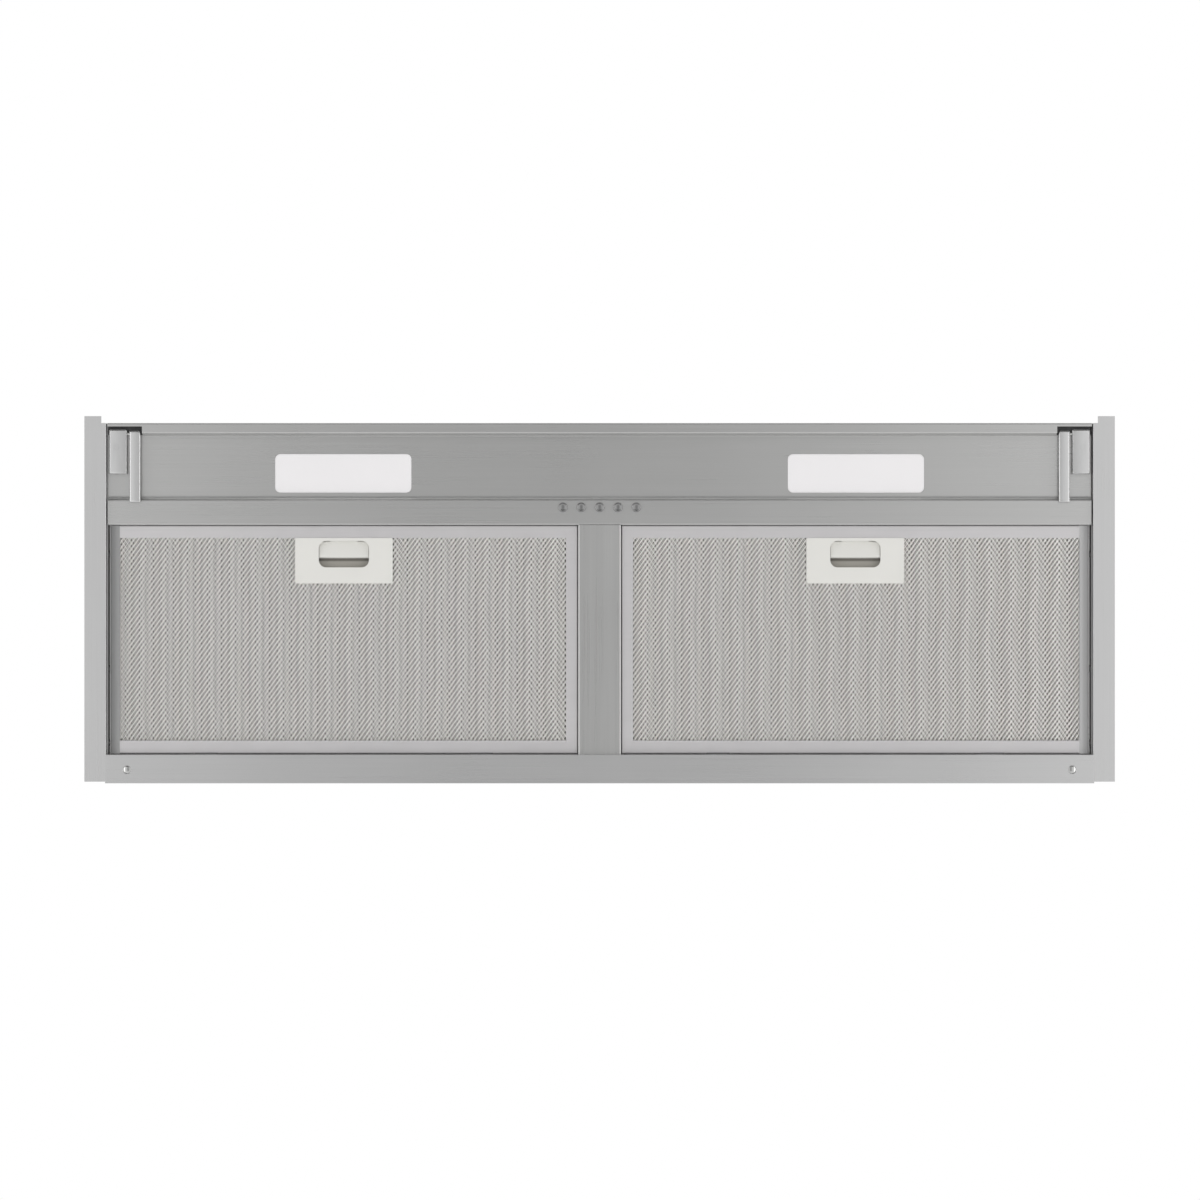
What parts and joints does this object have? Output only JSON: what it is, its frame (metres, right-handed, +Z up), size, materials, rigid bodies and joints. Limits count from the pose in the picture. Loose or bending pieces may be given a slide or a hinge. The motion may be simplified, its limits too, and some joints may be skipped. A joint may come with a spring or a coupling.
{
  "type": "range hood insert",
  "caption": "Cabinet range hood insert with a stainless underside, lamps, push buttons, latched mesh grease filters, blower and round duct spigot.",
  "frame": {"origin": "centre of the underside, on the plane of the stainless trim frame", "axes": "+Z up into the cabinet, +X to the right of a cook who faces the wall, -Y towards the cook"},
  "size_m": [0.898, 0.32, 0.295],
  "materials": {
    "stainless": "fine brushed stainless steel",
    "galvanised": "dull galvanised sheet",
    "aluminium": "satin rolled aluminium",
    "aluminium_mesh": "expanded aluminium mesh",
    "bright_steel": "bright zinc plated",
    "spring_steel": "drawn spring wire",
    "cream_plastic": "satin moulded",
    "lens_plastic": "opal diffuser",
    "white_plastic": "moulded",
    "button_metal": "metallised",
    "circuit_board": "white solder mask",
    "black_plastic": "moulded",
    "grey_plastic": "moulded",
    "motor_paint": "baked enamel",
    "capacitor_white": "moulded can",
    "wire_sheath": "soft sheath"
  },
  "bodies": {
    "hood": {"face_frame": "stainless", "canopy_shell": "galvanised", "lamp_panel": "stainless", "control_strip": "stainless", "filter_divider": "stainless", "electrics_cover": "galvanised", "frame_rivets": "bright_steel", "rear_flange_screws": "bright_steel", "lamp_lens_left": "lens_plastic", "lamp_lens_right": "lens_plastic", "lamp_housing_left": "white_plastic", "lamp_housing_right": "white_plastic", "led_boards": "circuit_board", "lamp_wires": "wire_sheath", "led_driver": "grey_plastic", "switch_block": "black_plastic", "button_springs": "spring_steel", "hinge_leaf_left": "bright_steel", "hinge_leaf_right": "bright_steel", "hinge_pins": "bright_steel", "hinge_rivets": "bright_steel", "motor_housing": "galvanised", "scroll_band": "galvanised", "scroll_side_left": "galvanised", "scroll_side_right": "galvanised", "motor_body": "motor_paint", "motor_bracket": "galvanised", "motor_capacitor": "capacitor_white", "duct_collar": "black_plastic", "damper_rod": "bright_steel", "terminal_box": "grey_plastic", "terminal_box_cover": "grey_plastic", "cable_gland": "black_plastic", "housing_screws": "bright_steel"},
    "fan": {"fan_wheel": "grey_plastic", "fan_hub": "grey_plastic", "motor_shaft": "bright_steel"},
    "front_damper": {"damper_flap_front": "black_plastic"},
    "rear_damper": {"damper_flap_rear": "black_plastic"},
    "button_1": {"push_button_1": "button_metal"},
    "button_2": {"push_button_2": "button_metal"},
    "button_3": {"push_button_3": "button_metal"},
    "button_4": {"push_button_4": "button_metal"},
    "button_5": {"push_button_5": "button_metal"},
    "filter_left": {"filter_frame_left": "aluminium", "filter_mesh_front_left": "aluminium_mesh", "filter_mesh_core_left": "aluminium_mesh", "filter_mesh_back_left": "aluminium_mesh", "latch_housing_left": "cream_plastic", "latch_springs_left": "spring_steel"},
    "latch_left": {"latch_slider_left": "cream_plastic"},
    "flap_arm_left": {"hinge_arm_left": "bright_steel"},
    "filter_right": {"filter_frame_right": "aluminium", "filter_mesh_front_right": "aluminium_mesh", "filter_mesh_core_right": "aluminium_mesh", "filter_mesh_back_right": "aluminium_mesh", "latch_housing_right": "cream_plastic", "latch_springs_right": "spring_steel"},
    "latch_right": {"latch_slider_right": "cream_plastic"},
    "flap_arm_right": {"hinge_arm_right": "bright_steel"}
  },
  "joints": [
    {"name": "fan_spin", "type": "hinge", "parent": "hood", "child": "fan", "pos_m": [0, 0.0525, 0.178], "axis": [1, 0, 0], "continuous": true},
    {"name": "front_damper_swing", "type": "hinge", "parent": "hood", "child": "front_damper", "pos_m": [0, 0, 0.262], "axis": [-1, 0, 0], "range_deg": [0, 75]},
    {"name": "rear_damper_swing", "type": "hinge", "parent": "hood", "child": "rear_damper", "pos_m": [0, 0, 0.262], "axis": [1, 0, 0], "range_deg": [0, 75]},
    {"name": "button_1_press", "type": "slide", "parent": "hood", "child": "button_1", "axis": [0, 0, 1], "range_m": [0, 0.0025], "stiffness_N_per_m": 300, "springref_m": -0.002, "deforming": ["button_springs"]},
    {"name": "button_2_press", "type": "slide", "parent": "hood", "child": "button_2", "axis": [0, 0, 1], "range_m": [0, 0.0025], "stiffness_N_per_m": 300, "springref_m": -0.002, "deforming": ["button_springs"]},
    {"name": "button_3_press", "type": "slide", "parent": "hood", "child": "button_3", "axis": [0, 0, 1], "range_m": [0, 0.0025], "stiffness_N_per_m": 300, "springref_m": -0.002, "deforming": ["button_springs"]},
    {"name": "button_4_press", "type": "slide", "parent": "hood", "child": "button_4", "axis": [0, 0, 1], "range_m": [0, 0.0025], "stiffness_N_per_m": 300, "springref_m": -0.002, "deforming": ["button_springs"]},
    {"name": "button_5_press", "type": "slide", "parent": "hood", "child": "button_5", "axis": [0, 0, 1], "range_m": [0, 0.0025], "stiffness_N_per_m": 300, "springref_m": -0.002, "deforming": ["button_springs"]},
    {"name": "filter_left_tilt", "type": "hinge", "parent": "hood", "child": "filter_left", "pos_m": [-0.2232, 0.1347, 0.008], "axis": [1, 0, 0], "range_deg": [0, 75]},
    {"name": "latch_left_slide", "type": "slide", "parent": "filter_left", "child": "latch_left", "axis": [0, 1, 0], "range_m": [0, 0.004], "stiffness_N_per_m": 400, "springref_m": -0.005, "deforming": ["latch_springs_left"]},
    {"name": "flap_arm_left_swing", "type": "hinge", "parent": "hood", "child": "flap_arm_left", "pos_m": [-0.405, -0.1447, 0.007], "axis": [-1, 0, 0], "range_deg": [0, 90]},
    {"name": "filter_right_tilt", "type": "hinge", "parent": "hood", "child": "filter_right", "pos_m": [0.2232, 0.1347, 0.008], "axis": [1, 0, 0], "range_deg": [0, 75]},
    {"name": "latch_right_slide", "type": "slide", "parent": "filter_right", "child": "latch_right", "axis": [0, 1, 0], "range_m": [0, 0.004], "stiffness_N_per_m": 400, "springref_m": -0.005, "deforming": ["latch_springs_right"]},
    {"name": "flap_arm_right_swing", "type": "hinge", "parent": "hood", "child": "flap_arm_right", "pos_m": [0.405, -0.1447, 0.007], "axis": [-1, 0, 0], "range_deg": [0, 90]}
  ]
}
